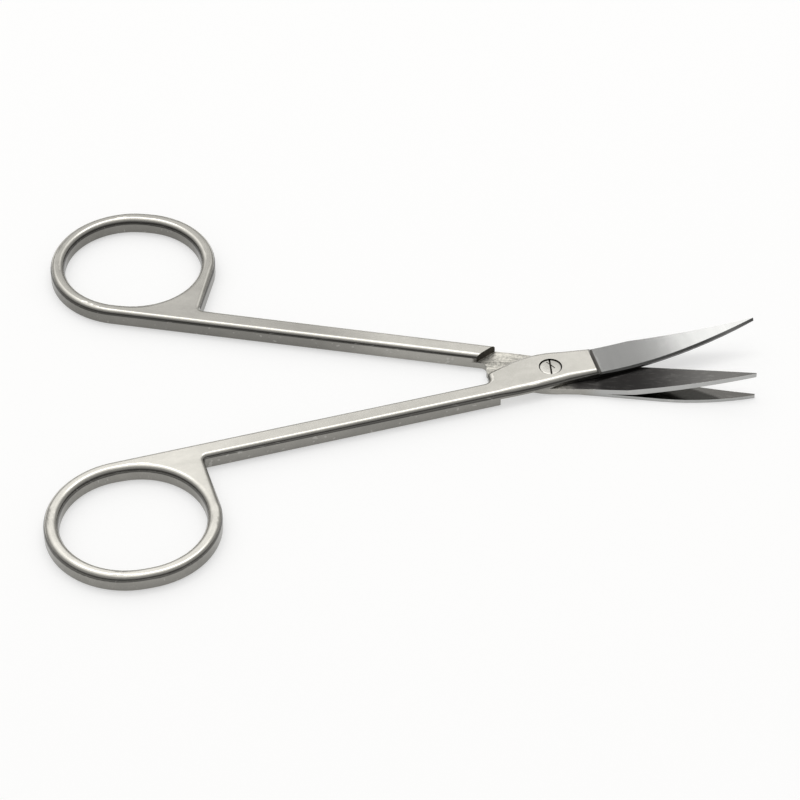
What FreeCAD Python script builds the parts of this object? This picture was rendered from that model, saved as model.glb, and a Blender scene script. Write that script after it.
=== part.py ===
"""Micro scissors with finger rings, a screwed lap joint and curved blades.

Frame: millimetres, +X along the line that halves the open pair, towards the
blade tips, +Z up. The origin is where the pivot axis meets the underside.
Each half is drawn closed, with its finger ring on the +Y side, and is then
turned about the pivot to its open rest position. The front half is the
mirror image of the back half: it lies on top at the joint.
"""
import FreeCAD, Part
import math
import os
import Sketcher

os.makedirs("parts", exist_ok=True)
doc = FreeCAD.newDocument("micro_scissors")
sheet = doc.addObject("Spreadsheet::Sheet", "sizes")

# Driving dimensions, in millimetres and degrees.
SIZES = [
    ("opening_angle", 21.7, "angle between the halves at rest"),
    ("plate_thickness", 2.9, "thickness of the shanks, rings and closed joint"),
    ("lap_gap", 0.08, "running gap between the two mating faces"),
    ("ring_reach", 72.2, "ring centre behind the pivot, along the closed pair"),
    ("ring_offset", 17.6, "ring centre beside the closed pair's middle line"),
    ("ring_hole_long", 11.5, "finger hole, half its length"),
    ("ring_hole_short", 10.95, "finger hole, half its width"),
    ("ring_width", 2.35, "ring bar, seen from above"),
    ("ring_edge_radius", 1.0, "rounding inside the finger hole"),
    ("bar_edge_radius", 0.8, "rounding along the shank and round the ring"),
    ("under_edge_chamfer", 0.25, "chamfer along the underside"),
    ("notch_depth", 0.55, "corner between ring and shank, behind the ring's near end"),
    ("notch_radius", 0.7, "inside radius of that corner"),
    ("shank_joint_width", 3.1, "shank width at the joint"),
    ("shank_ring_width", 3.35, "shank width at the ring"),
    ("throat_reach", 11.5, "throat between the shanks, behind the pivot"),
    ("throat_side", 1.05, "shank's inner edge at the throat, off the middle line"),
    ("throat_radius", 1.1, "inside radius of the throat"),
    ("step_reach", 12.2, "lap step at the shank's inner edge"),
    ("step_slant", 2.7, "how much nearer the step is at the outer edge"),
    ("heel_reach", 10.3, "heel of the joint body, behind the pivot"),
    ("heel_side", 1.25, "heel, off the middle line"),
    ("heel_radius", 0.9, "rounding of the heel"),
    ("flank_reach", 6.0, "where the joint's far side turns round, behind the pivot"),
    ("flank_side", 2.9, "far side there, off the middle line"),
    ("cheek_reach", 2.6, "where the far side turns straight, before the pivot"),
    ("cheek_side", 3.5, "far side there, off the middle line"),
    ("boss_radius", 16.0, "radius of the far side between the two"),
    ("near_reach", 2.5, "where the near side turns straight, before the pivot"),
    ("near_side", 3.2, "near side there, off the middle line"),
    ("near_radius", 90.0, "radius of the near side behind it"),
    ("shoulder_reach", 7.5, "shoulder where the front blade starts"),
    ("shoulder_half_width", 3.0, "half width of the blade root"),
    ("shoulder_chamfer", 0.45, "slope of the step down to the front blade"),
    ("root_depth", 0.3, "how far the front blade's root reaches into the joint body"),
    ("bowl_start", 8.2, "radius where the blades begin to curve up"),
    ("bowl_radius", 142.0, "radius of the blades' upward curve"),
    ("front_reach", 34.4, "pivot to the front blade's tip"),
    ("back_reach", 33.2, "pivot to the back leaves' tips"),
    ("tip_width", 0.34, "blunt width of each tip"),
    ("cut_edge_radius", 115.0, "radius of the cutting edges seen from above"),
    ("spine_start", 14.0, "where the spine begins its taper"),
    ("front_root_thickness", 0.85, "front blade at its root"),
    ("front_tip_thickness", 0.4, "front blade at its tip"),
    ("leaf_root_thickness", 0.85, "upper leaf of the fork at its root"),
    ("leaf_tip_thickness", 0.6, "upper leaf of the fork at its tip"),
    ("blade_bevel", 0.25, "bevel beside the front cutting edge"),
    ("spine_bevel_width", 0.6, "bevel along the back leaf's spine, seen from above"),
    ("spine_bevel_depth", 0.18, "how far that bevel lowers the spine"),
    ("fork_reach", 9.5, "crotch of the fork in the back blade"),
    ("low_leaf_thickness", 0.6, "lower leaf of the fork"),
    ("low_spine_start", 16.5, "where the lower leaf's spine begins to curve in"),
    ("low_spine_radius", 45.0, "radius of the lower leaf's spine from above"),
    ("low_edge_radius", 134.0, "radius of the lower leaf's hollow inner edge"),
    ("screw_radius", 1.1, "pivot screw's body"),
    ("screw_clearance", 0.05, "running clearance round the screw"),
    ("head_radius", 1.85, "pivot screw's head"),
    ("head_height", 0.8, "depth of the head"),
    ("head_dish", 0.06, "how far the head lies below the top face"),
    ("slot_width", 0.42, "driver slot in the head"),
    ("slot_depth", 0.4, "depth of the driver slot"),
]
for row, (alias, number, words) in enumerate(SIZES, start=1):
    sheet.set(f"A{row}", words)
    sheet.set(f"B{row}", str(number))
    sheet.setAlias(f"B{row}", alias)

# Sizes that follow from the driving ones.
DERIVED = [
    ("ring_straight", "=ring_hole_long - ring_hole_short"),
    ("ring_out", "=ring_hole_short + ring_width"),
    ("mid_height", "=plate_thickness / 2"),
    ("back_lap_height", "=plate_thickness / 2 - lap_gap / 2"),
    ("front_lap_height", "=plate_thickness / 2 + lap_gap / 2"),
    ("touch_u", "=(ring_reach + ring_straight - throat_reach) / ring_out"),
    ("touch_v", "=(throat_side - ring_offset) / ring_out"),
    ("touch_angle", "=atan2(touch_v; touch_u) - acos(1 / sqrt(touch_u ^ 2 + touch_v ^ 2))"),
    ("touch_reach", "=ring_reach + ring_straight - ring_out * cos(touch_angle)"),
    ("touch_side", "=ring_offset + ring_out * sin(touch_angle)"),
    ("notch_reach", "=ring_reach - ring_straight - ring_out + notch_depth"),
    ("shank_slope", "=(touch_side - throat_side) / (touch_reach - throat_reach)"),
    ("notch_side", "=throat_side + (notch_reach - throat_reach) * shank_slope + shank_ring_width"),
    ("step_side", "=throat_side + (step_reach - throat_reach) * shank_slope"),
    ("step_far_reach", "=step_reach - step_slant"),
    ("step_far_side", "=step_side + shank_joint_width"),
    ("far_reach", "=front_reach + 2 * shoulder_half_width"),
    ("front_rise", "=sqrt(bowl_radius ^ 2 - bowl_start ^ 2) - sqrt(bowl_radius ^ 2 - front_reach ^ 2)"),
    ("blade_rise", "=front_rise + front_tip_thickness - front_root_thickness"),
    ("blade_span", "=front_reach ^ 2 - bowl_start ^ 2"),
    ("blade_back_radius", "=sqrt((blade_span / blade_rise + blade_rise) ^ 2 / 4 + bowl_start ^ 2)"),
    ("fork_rise", "=sqrt(bowl_radius ^ 2 - bowl_start ^ 2) - sqrt(bowl_radius ^ 2 - back_reach ^ 2)"),
    ("leaf_rise", "=fork_rise + leaf_root_thickness - leaf_tip_thickness"),
    ("leaf_span", "=back_reach ^ 2 - fork_reach ^ 2"),
    ("leaf_back_radius", "=sqrt((leaf_span / leaf_rise + leaf_rise) ^ 2 / 4 + fork_reach ^ 2)"),
    ("head_base", "=plate_thickness - head_dish - head_height"),
    ("seat_height", "=head_base - lap_gap"),
    ("slot_height", "=plate_thickness - head_dish - slot_depth"),
]
for row, (alias, formula) in enumerate(DERIVED, start=len(SIZES) + 2):
    sheet.set(f"B{row}", formula)
    sheet.setAlias(f"B{row}", alias)
doc.recompute()


def size(alias):
    """The number that the sheet holds under this name."""
    return float(getattr(sheet, alias))


def plane(body, role):
    """One of the body's own origin planes or axes."""
    for feature in body.Origin.OriginFeatures:
        if feature.Role == role:
            return feature
    raise ValueError(role)


def new_sketch(body, name, role, height=None):
    """A sketch on an origin plane of the body, raised to a named height."""
    sketch = body.newObject("Sketcher::SketchObject", name)
    sketch.AttachmentSupport = [(plane(body, role), "")]
    sketch.MapMode = "FlatFace"
    if height:
        sketch.setExpression(".AttachmentOffset.Base.z", f"<<sizes>>.{height}" if height[0] != "=" else height[1:])
    return sketch


def arc_through(start, end, radius, left):
    """A circular arc between two points, bulging left or right of the way."""
    ax, ay = start
    bx, by = end
    dx, dy = bx - ax, by - ay
    chord = math.hypot(dx, dy)
    nx, ny = (-dy / chord, dx / chord) if left else (dy / chord, -dx / chord)
    sagitta = radius - math.sqrt(radius * radius - chord * chord / 4)
    middle = ((ax + bx) / 2 + nx * sagitta, (ay + by) / 2 + ny * sagitta)
    points = [FreeCAD.Vector(p[0], p[1], 0) for p in (start, middle, end)]
    return Part.Arc(*points)


def outline(sketch, corners, edges):
    """A closed outline through named corners, of lines and arcs.

    corners: (x expression, y expression) pairs, in the sheet's names.
    edges: None for a line, or (radius expression, bulges left) for an arc.
    """
    points = [FreeCAD.Vector(evaluate(x), evaluate(y), 0) for x, y in corners]
    count = len(points)
    for i in range(count):
        start, end = points[i], points[(i + 1) % count]
        if edges[i] is None:
            geometry = Part.LineSegment(start, end)
        else:
            geometry = arc_through(start[:2], end[:2], evaluate(edges[i][0]), edges[i][1])
        sketch.addGeometry(geometry, False)
    # an arc runs anticlockwise, so its start point may be the outline's end point
    ends = []
    for i in range(count):
        swapped = sketch.getPoint(i, 1).distanceToPoint(points[i]) > sketch.getPoint(i, 2).distanceToPoint(points[i])
        ends.append((2, 1) if swapped else (1, 2))
    for i in range(count):
        j = (i + 1) % count
        sketch.addConstraint(Sketcher.Constraint("Coincident", i, ends[i][1], j, ends[j][0]))
    for i, (across, along) in enumerate(corners):
        at = ends[i][0]
        dimension(sketch, Sketcher.Constraint("DistanceX", -1, 1, i, at, points[i].x), across)
        dimension(sketch, Sketcher.Constraint("DistanceY", -1, 1, i, at, points[i].y), along)
        if edges[i]:
            dimension(sketch, Sketcher.Constraint("Radius", i, evaluate(edges[i][0])), edges[i][0])
    return sketch


def dimension(sketch, constraint, text):
    """Adds a dimension and binds it to its expression."""
    index = sketch.addConstraint(constraint)
    sketch.setExpression(f"Constraints[{index}]", bound(text))


def bound(text):
    """The expression with every sheet name written out in full."""
    words = []
    word = ""
    for letter in text + " ":
        if letter.isalnum() or letter == "_":
            word += letter
            continue
        if word and word in NAMES:
            word = f"<<sizes>>.{word}"
        words.append(word + letter)
        word = ""
    return "".join(words).strip()


def evaluate(text):
    """The number that an expression in the sheet's names gives."""
    return float(sheet.evalExpression(bound(text)))


NAMES = {row[0] for row in SIZES} | {row[0] for row in DERIVED}


def save_check(label, shape):
    """Each piece must be one valid closed solid."""
    if shape.isNull() or not shape.isValid() or len(shape.Solids) != 1:
        raise ValueError(f"{label} is not one valid solid")
    print(label, "volume", round(shape.Volume, 2), "faces", len(shape.Faces))


def turned(text, mirrored):
    """A distance across the closed pair, negated on the mirrored half."""
    return f"-({text})" if mirrored else text


def side_outline(sketch, corners, edges, mirrored):
    """An outline drawn with the ring on +Y, mirrored for the front half."""
    corners = [(along, turned(across, mirrored)) for along, across in corners]
    edges = [edge and (edge[0], edge[1] != mirrored) for edge in edges]
    return outline(sketch, corners, edges)


def pad(body, sketch, name, length):
    """A pad of the sketch, upwards by a named length."""
    feature = body.newObject("PartDesign::Pad", name)
    feature.Profile = sketch
    feature.setExpression("Length", bound(length))
    doc.recompute()
    return feature


def pocket(body, sketch, name, length, upward):
    """A pocket of the sketch, up or down by a named length."""
    before = body.Tip.Shape.Volume
    feature = body.newObject("PartDesign::Pocket", name)
    feature.Profile = sketch
    feature.Reversed = upward
    feature.setExpression("Length", bound(length))
    doc.recompute()
    if feature.Shape.isNull() or feature.Shape.Volume > before - 1e-3:
        raise ValueError(f"{name} removes nothing")
    return feature


def finger_hole(body, mirrored):
    """The oval hole through the ring: two half rounds and a short straight."""
    corners = []
    for along, side in ((-1, 0), (-1, 1), (1, 1), (1, 0), (1, -1), (-1, -1)):
        reach = f"-ring_reach + {along} * ring_straight"
        if side == 0:
            reach += f" + {along} * ring_hole_short"
        corners.append((reach, f"ring_offset + {side} * ring_hole_short"))
    curve = ("ring_hole_short", True)
    hole = side_outline(
        new_sketch(body, "finger_hole_outline", "XY_Plane"),
        corners,
        [curve, None, curve, curve, None, curve],
        mirrored,
    )
    return pocket(body, hole, "finger_hole", "plate_thickness + 1", True)


def edges_where(shape, test):
    """Names of the edges whose middle passes the test."""
    names = []
    for number, edge in enumerate(shape.Edges, start=1):
        first, last = edge.ParameterRange
        if test(edge.valueAt((first + last) / 2), edge):
            names.append(f"Edge{number}")
    return names


def round_edges(body, name, radius, test, kind="Fillet"):
    """A fillet or chamfer on the edges that pass the test."""
    base = body.Tip
    names = edges_where(base.Shape, test)
    if not names:
        raise ValueError(f"{name} finds no edge")
    feature = body.newObject(f"PartDesign::{kind}", name)
    feature.Base = (base, names)
    feature.setExpression("Size" if kind == "Chamfer" else "Radius", bound(radius))
    doc.recompute()
    return feature


def groove(body, name, corners, edges):
    """Cuts away a profile turned a full round about the pivot axis.

    The profile is drawn on the handle's side, so that the seam of the turned
    surface stays away from the blade.
    """
    before = body.Tip.Shape.Volume
    behind = [(f"-({reach})", height) for reach, height in corners]
    flipped = [edge and (edge[0], not edge[1]) for edge in edges]
    sketch = outline(new_sketch(body, name + "_profile", "XZ_Plane"), behind, flipped)
    feature = body.newObject("PartDesign::Groove", name)
    feature.Profile = sketch
    feature.ReferenceAxis = (sketch, ["V_Axis"])
    feature.Angle = 360
    doc.recompute()
    if feature.Shape.isNull() or feature.Shape.Volume > before - 1e-3:
        raise ValueError(f"{name} removes nothing")
    return feature


SKY = "plate_thickness * 4"
FAR = "far_reach"


def bowl(base, start, radius):
    """Height at the far reach of a ball-shaped face that rises from a start.

    The ball's centre lies on the pivot axis, so the face is the same all the
    way round and the two blades slide past each other at every opening.
    """
    return f"{base} + sqrt({radius} ^ 2 - {start} ^ 2) - sqrt({radius} ^ 2 - far_reach ^ 2)"


def blade_outline(sketch, root, reach, mirrored):
    """A blade from above: convex cutting edge, spine that tapers to the tip."""
    corners = [
        (root, "shoulder_half_width"),
        ("bowl_start", "shoulder_half_width"),
        (reach, "tip_width / 2"),
        (reach, "-tip_width / 2"),
        ("spine_start", "-shoulder_half_width"),
        (root, "-shoulder_half_width"),
    ]
    edges = [None, ("cut_edge_radius", True), None, None, None, None]
    return side_outline(sketch, corners, edges, mirrored)


def handle(body, mirrored):
    """Ring, shank and joint body: one plate, halved in thickness at the joint.

    The shank runs straight from the throat and touches the ring's far side.
    The lap ends at a slanted step, where the shank gets its full height.
    """
    corners = [
        ("-touch_reach", "touch_side"),
        ("-ring_reach - ring_straight - ring_out", "ring_offset"),
        ("-ring_reach - ring_straight", "ring_offset + ring_out"),
        ("-ring_reach + ring_straight", "ring_offset + ring_out"),
        ("-ring_reach + ring_straight + ring_out", "ring_offset"),
        ("-notch_reach", "notch_side"),
        ("-step_far_reach", "step_far_side"),
        ("near_reach", "near_side"),
        ("shoulder_reach", "shoulder_half_width"),
        ("shoulder_reach", "-shoulder_half_width"),
        ("cheek_reach", "-cheek_side"),
        ("-flank_reach", "-flank_side"),
        ("-heel_reach", "-heel_side"),
        ("-throat_reach + throat_radius", "throat_side - throat_radius"),
        ("-throat_reach", "throat_side"),
    ]
    ring = ("ring_out", True)
    near = ("near_radius", True)
    boss = ("boss_radius", True)
    throat = ("throat_radius", False)
    edges = [ring, ring, None, ring, None, None, near, None, None, None, boss, None, None, throat, None]
    plate = side_outline(new_sketch(body, "plate_outline", "XY_Plane"), corners, edges, mirrored)
    pad(body, plate, "plate", "plate_thickness")
    corners = [
        ("-step_reach - step_slant", "-2 * cheek_side"),
        ("shoulder_reach", "-2 * cheek_side"),
        ("shoulder_reach", "3 * near_side"),
        ("step_slant - step_far_reach", "3 * near_side"),
        ("-step_far_reach", "step_far_side"),
        ("-step_reach", "step_side"),
    ]
    height = None if mirrored else "back_lap_height"
    lap = side_outline(new_sketch(body, "lap_outline", "XY_Plane", height), corners, [None] * 6, mirrored)
    pocket(body, lap, "lap", "front_lap_height" if mirrored else "plate_thickness", True)
    finger_hole(body, mirrored)


def upright(reach, side):
    """A test that picks the upright edge at a named corner of the outline."""
    corner = FreeCAD.Vector(-size(reach), side, 0)
    return lambda point, edge: math.hypot(point.x - corner.x, point.y - corner.y) < 0.05


def round_handle(body, mirrored):
    """Rounds the notch and the heel, then every long edge of the handle."""
    side = -1 if mirrored else 1
    top = size("plate_thickness")
    end = size("shoulder_reach")
    round_edges(body, "notch_rounding", "notch_radius", upright("notch_reach", size("notch_side") * side))
    round_edges(body, "heel_rounding", "heel_radius", upright("heel_reach", size("heel_side") * -side))
    centre = FreeCAD.Vector(-size("ring_reach"), size("ring_offset") * side, 0)
    inside = (size("ring_hole_long") + size("ring_out")) / 2
    slope_end = end - size("shoulder_chamfer")

    def near(point):
        return math.hypot(point.x - centre.x, point.y - centre.y) < inside

    def on_step(point):
        x = (size("step_reach") + size("step_far_reach")) / -2
        y = (size("step_side") + size("step_far_side")) / 2 * side
        return math.hypot(point.x - x, point.y - y) < 0.2

    def flat(edge, height):
        box = edge.BoundBox
        return abs(box.ZMin - height) < 1e-4 and abs(box.ZMax - height) < 1e-4

    def handle_edge(point):
        return point.x < slope_end - 0.05 and not on_step(point)

    if mirrored:
        round_edges(
            body,
            "shoulder_slope",
            "shoulder_chamfer",
            lambda p, e: flat(e, top) and abs(p.x - end) < 0.05 and abs(p.y) < 0.5 * end,
            "Chamfer",
        )
    round_edges(body, "finger_rounding", "ring_edge_radius", lambda p, e: flat(e, top) and near(p))
    round_edges(
        body, "top_rounding", "bar_edge_radius", lambda p, e: flat(e, top) and not near(p) and handle_edge(p)
    )
    round_edges(
        body, "under_chamfer", "under_edge_chamfer", lambda p, e: flat(e, 0) and handle_edge(p), "Chamfer"
    )


def blade_edge(body, name, mirrored, on_spine, width, depth):
    """Bevels the blade's upper long edge on one side, by a width and a depth."""
    side = -1 if mirrored else 1
    found = []
    for number, edge in enumerate(body.Tip.Shape.Edges, start=1):
        first, last = edge.ParameterRange
        middle = edge.valueAt((first + last) / 2)
        across = middle.y * side
        if middle.x > size("spine_start") and edge.Length > size("spine_start"):
            if (across < 0) == on_spine and abs(across) > size("tip_width"):
                found.append((middle.z, number))
    found.sort(reverse=True)
    base = body.Tip
    feature = body.newObject("PartDesign::Chamfer", name)
    feature.Base = (base, [f"Edge{found[0][1]}"])
    feature.ChamferType = "Two distances"
    feature.setExpression("Size", bound(depth))
    feature.setExpression("Size2", bound(width))
    doc.recompute()
    return feature


def make_back_half():
    """Lower half: its blade is forked into a curved and a level leaf."""
    body = doc.addObject("PartDesign::Body", "back_half")
    outline_sketch = blade_outline(new_sketch(body, "leaf_outline", "XY_Plane"), "bowl_start / 2", "back_reach", False)
    pad(body, outline_sketch, "leaf_blank", SKY)
    base = "back_lap_height"
    groove(
        body,
        "mating_bowl",
        [
            ("bowl_start / 2", SKY + " + 1"),
            ("bowl_start / 2", base),
            ("bowl_start", base),
            (FAR, bowl(base, "bowl_start", "bowl_radius")),
            (FAR, SKY + " + 1"),
        ],
        [None, None, ("bowl_radius", False), None, None],
    )
    under = f"{base} - leaf_root_thickness"
    groove(
        body,
        "fork_slot",
        [
            ("fork_reach", "-1"),
            ("fork_reach", under),
            (FAR, bowl(under, "fork_reach", "leaf_back_radius")),
            (FAR, "-1"),
        ],
        [None, ("leaf_back_radius", False), None, None],
    )
    blade_edge(body, "spine_bevel", False, True, "spine_bevel_width", "spine_bevel_depth")
    corners = [
        ("bowl_start / 2", "shoulder_half_width"),
        ("bowl_start", "shoulder_half_width"),
        ("back_reach", "tip_width / 2"),
        ("back_reach", "-tip_width / 2"),
        ("low_spine_start", "-shoulder_half_width"),
        ("bowl_start / 2", "-shoulder_half_width"),
    ]
    edges = [None, ("low_edge_radius", False), None, ("low_spine_radius", True), None, None]
    low = side_outline(new_sketch(body, "low_leaf_outline", "XY_Plane"), corners, edges, False)
    pad(body, low, "low_leaf", "low_leaf_thickness")
    corners = [
        ("bowl_start / 2", "shoulder_half_width"),
        ("fork_reach", "shoulder_half_width"),
        ("fork_reach", "-shoulder_half_width"),
        ("bowl_start / 2", "-shoulder_half_width"),
    ]
    root = side_outline(new_sketch(body, "fork_root_outline", "XY_Plane"), corners, [None] * 4, False)
    pad(body, root, "fork_root", "back_lap_height - leaf_root_thickness / 2")
    handle(body, False)
    round_handle(body, False)
    bore(body, "screw_hole", "screw_radius", None, "plate_thickness")
    return body


def bore(body, name, radius, height, length):
    """A round hole on the pivot axis, from a named height upwards."""
    sketch = new_sketch(body, name + "_outline", "XY_Plane", height)
    sketch.addGeometry(Part.Circle(FreeCAD.Vector(0, 0, 0), FreeCAD.Vector(0, 0, 1), evaluate(radius)), False)
    sketch.addConstraint(Sketcher.Constraint("Coincident", 0, 3, -1, 1))
    index = sketch.addConstraint(Sketcher.Constraint("Radius", 0, evaluate(radius)))
    sketch.setExpression(f"Constraints[{index}]", bound(radius))
    return pocket(body, sketch, name, length, True)


def make_front_blade():
    """The front half's single curved blade, with its root."""
    body = doc.addObject("PartDesign::Body", "front_blade")
    sketch = new_sketch(body, "blade_outline", "XY_Plane")
    outline_sketch = blade_outline(sketch, "shoulder_reach - root_depth", "front_reach", True)
    pad(body, outline_sketch, "blade_blank", SKY)
    base = "front_lap_height"
    groove(
        body,
        "mating_bowl",
        [
            ("bowl_start / 2", "-1"),
            ("bowl_start / 2", base),
            ("bowl_start", base),
            (FAR, bowl(base, "bowl_start", "bowl_radius")),
            (FAR, "-1"),
        ],
        [None, None, ("bowl_radius", False), None, None],
    )
    over = f"{base} + front_root_thickness"
    groove(
        body,
        "blade_back",
        [
            ("bowl_start / 2", SKY + " + 1"),
            ("bowl_start / 2", over),
            ("bowl_start", over),
            (FAR, bowl(over, "bowl_start", "blade_back_radius")),
            (FAR, SKY + " + 1"),
        ],
        [None, None, ("blade_back_radius", False), None, None],
    )
    blade_edge(body, "cutting_bevel", True, False, "blade_bevel", "blade_bevel")
    return body


def make_front_half():
    """Upper half: ring, shank and joint body, with the blade let into its shoulder."""
    body = doc.addObject("PartDesign::Body", "front_handle")
    handle(body, True)
    round_handle(body, True)
    bore(body, "front_screw_hole", "screw_radius + screw_clearance", None, "plate_thickness")
    bore(
        body,
        "head_seat",
        "head_radius + screw_clearance",
        "seat_height",
        "plate_thickness",
    )
    half = doc.addObject("Part::MultiFuse", "front_half")
    half.Shapes = [body, make_front_blade()]
    doc.recompute()
    return half


def make_screw():
    """Pivot screw: flush slotted head above, tail flush with the underside."""
    body = doc.addObject("PartDesign::Body", "pivot_screw")
    corners = [
        ("0", "0"),
        ("screw_radius", "0"),
        ("screw_radius", "head_base"),
        ("head_radius", "head_base"),
        ("head_radius", "plate_thickness - 2 * head_dish"),
        ("head_radius - head_dish", "plate_thickness - head_dish"),
        ("0", "plate_thickness - head_dish"),
    ]
    sketch = outline(new_sketch(body, "screw_profile", "XZ_Plane"), corners, [None] * 7)
    turn = body.newObject("PartDesign::Revolution", "screw_turning")
    turn.Profile = sketch
    turn.ReferenceAxis = (sketch, ["V_Axis"])
    turn.Angle = 360
    doc.recompute()
    corners = [
        ("-slot_width / 2", "-2 * head_radius"),
        ("slot_width / 2", "-2 * head_radius"),
        ("slot_width / 2", "2 * head_radius"),
        ("-slot_width / 2", "2 * head_radius"),
    ]
    slot = outline(new_sketch(body, "slot_outline", "XY_Plane", "slot_height"), corners, [None] * 4)
    pocket(body, slot, "driver_slot", "plate_thickness", True)
    return body


halves = {
    "back_half": (make_back_half(), "-opening_angle / 2"),
    "front_half": (make_front_half(), "opening_angle / 2"),
    "pivot_screw": (make_screw(), "-opening_angle / 2"),
}
for label, (body, angle) in halves.items():
    body.Label = label
    body.Placement = FreeCAD.Placement(FreeCAD.Vector(0, 0, 0), FreeCAD.Rotation(FreeCAD.Vector(0, 0, 1), 0))
    body.setExpression(".Placement.Rotation.Angle", bound(angle))
doc.recompute()

for item in doc.Objects:
    if "Invalid" in item.State or "Error" in item.State:
        raise ValueError(f"{item.Name} failed")
for label, (body, angle) in halves.items():
    save_check(label, body.Shape)
for label, (body, angle) in halves.items():
    body.Shape.exportStep(f"parts/{label}.step")
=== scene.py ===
# %% [markdown]
# Micro scissors, dressed for a studio picture.
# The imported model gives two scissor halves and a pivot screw, in metres. This
# lesson lights them, sets the camera, and gives each part the finish that a
# maker would: satin handles, ground blades, a milled lap and a turned screw.

# %% Load the frame
import math
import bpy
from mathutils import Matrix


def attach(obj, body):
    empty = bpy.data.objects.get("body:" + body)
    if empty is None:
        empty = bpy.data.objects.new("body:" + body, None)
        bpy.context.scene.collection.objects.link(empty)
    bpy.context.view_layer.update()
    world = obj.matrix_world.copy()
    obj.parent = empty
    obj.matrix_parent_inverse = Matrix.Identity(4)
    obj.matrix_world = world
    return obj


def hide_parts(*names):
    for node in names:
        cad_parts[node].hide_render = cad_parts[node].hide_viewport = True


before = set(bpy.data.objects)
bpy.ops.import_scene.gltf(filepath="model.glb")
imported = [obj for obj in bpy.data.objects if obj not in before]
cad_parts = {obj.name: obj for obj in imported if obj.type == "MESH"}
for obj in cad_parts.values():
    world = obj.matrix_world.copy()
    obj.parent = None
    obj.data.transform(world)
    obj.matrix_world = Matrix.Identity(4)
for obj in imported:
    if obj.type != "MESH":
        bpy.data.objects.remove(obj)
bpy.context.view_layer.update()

from types import SimpleNamespace

import bmesh
import bpy
from mathutils import Matrix, Vector

MM = 0.001

# %% [markdown]
# Most sizes in a lesson like this come from the object itself. The opening
# angle of the pair turns each half away from the middle line, and the finishes
# need it, because grinding lines follow the half and not the table.

# %% The numbers that the finishes share
OPENING = math.radians(21.7)
SHOULDER = 7.5      # where the front blade starts, in mm from the pivot
LAP_END = 12.7      # where the milled lap ends behind the pivot
LAP_HEIGHT = 1.41   # height of the back half's milled lap
TOP = 2.9           # height of the flat top faces
print("opening at rest:", round(math.degrees(OPENING), 1), "degrees")


# %% [markdown]
# A material in Blender is a graph of nodes. Small helpers keep the graphs
# readable: the first adds a node and sets its values, the others add a sum, a
# product, a ramp or a mix. A value that is a socket gets a link; a plain
# number is typed into the field.

# %% Helpers that write node graphs
def feed(tree, socket, value):
    if isinstance(value, bpy.types.NodeSocket):
        tree.links.new(value, socket)
    else:
        socket.default_value = value


def add(tree, kind, settings=None, **inputs):
    made = tree.nodes.new(kind)
    for key, value in (settings or {}).items():
        setattr(made, key, value)
    for key, value in inputs.items():
        feed(tree, made.inputs[key.replace("_", " ")], value)
    return made


def maths(tree, operation, *values):
    made = add(tree, "ShaderNodeMath", {"operation": operation})
    for socket, value in zip(made.inputs, values):
        feed(tree, socket, value)
    return made.outputs[0]


def times(tree, first, *others):
    for other in others:
        first = maths(tree, "MULTIPLY", first, other)
    return first


def plus(tree, first, second):
    return maths(tree, "ADD", first, second)


def ramp(tree, value, low, high, out_low=0.0, out_high=1.0):
    made = add(tree, "ShaderNodeMapRange", {"interpolation_type": "SMOOTHSTEP"}, Value=value)
    made.inputs["From Min"].default_value = low
    made.inputs["From Max"].default_value = high
    feed(tree, made.inputs["To Min"], out_low)
    feed(tree, made.inputs["To Max"], out_high)
    return made.outputs["Result"]


def fade(tree, mask, without, with_mask):
    return ramp(tree, mask, 0.0, 1.0, without, with_mask)


def toned(tree, colour, brightness):
    made = add(tree, "ShaderNodeHueSaturation", None, Color=colour, Value=brightness)
    return made.outputs["Color"]


def blend(tree, mask, first, second):
    made = add(tree, "ShaderNodeMix", {"data_type": "RGBA"})
    feed(tree, made.inputs["Factor"], mask)
    feed(tree, made.inputs[6], first)
    feed(tree, made.inputs[7], second)
    return made.outputs[2]


def noise(tree, place, scale, detail=2.0, **more):
    made = add(tree, "ShaderNodeTexNoise", None, Vector=place, Scale=scale, Detail=detail, **more)
    return made.outputs["Fac"]


def stretch(tree, place, sizes, turn=(0.0, 0.0, 0.0)):
    made = add(tree, "ShaderNodeMapping", None, Vector=place)
    made.inputs["Scale"].default_value = sizes
    made.inputs["Rotation"].default_value = turn
    return made.outputs["Vector"]


print("helpers ready")


# %% [markdown]
# A node group is a graph that several materials can share. Its sockets are
# declared on the interface first, and then the inside is wired between the
# Group Input and the Group Output.

# %% A helper that starts a node group
def start_group(name, takes, gives):
    tree = bpy.data.node_groups.new(name, "ShaderNodeTree")
    for label, kind, value in takes:
        socket = tree.interface.new_socket(label, in_out="INPUT", socket_type="NodeSocket" + kind)
        if value is not None:
            socket.default_value = value
    for label, kind in gives:
        tree.interface.new_socket(label, in_out="OUTPUT", socket_type="NodeSocket" + kind)
    return tree, tree.nodes.new("NodeGroupInput"), tree.nodes.new("NodeGroupOutput")


def place_group(tree, group, **inputs):
    made = add(tree, "ShaderNodeGroup", {"node_tree": group})
    for key, value in inputs.items():
        feed(tree, made.inputs[key.replace("_", " ")], value)
    return made


print("group helper ready")


# %% [markdown]
# All the metals here start alike: a material whose Principled shader is fully
# metallic. Their fine relief enters at the end, through a Bump node, with its
# heights in millimetres.

# %% Helpers that start a metal and give it relief
def new_metal(name):
    material = bpy.data.materials.new(name)
    material.use_nodes = True
    steel = material.node_tree.nodes["Principled BSDF"]
    steel.inputs["Metallic"].default_value = 1.0
    return material, material.node_tree, steel


def add_relief(tree, steel, height):
    relief = add(tree, "ShaderNodeBump", None, Height=height, Distance=MM, Strength=1.0)
    feed(tree, steel.inputs["Normal"], relief.outputs["Normal"])


print("metal helpers ready")

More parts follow.
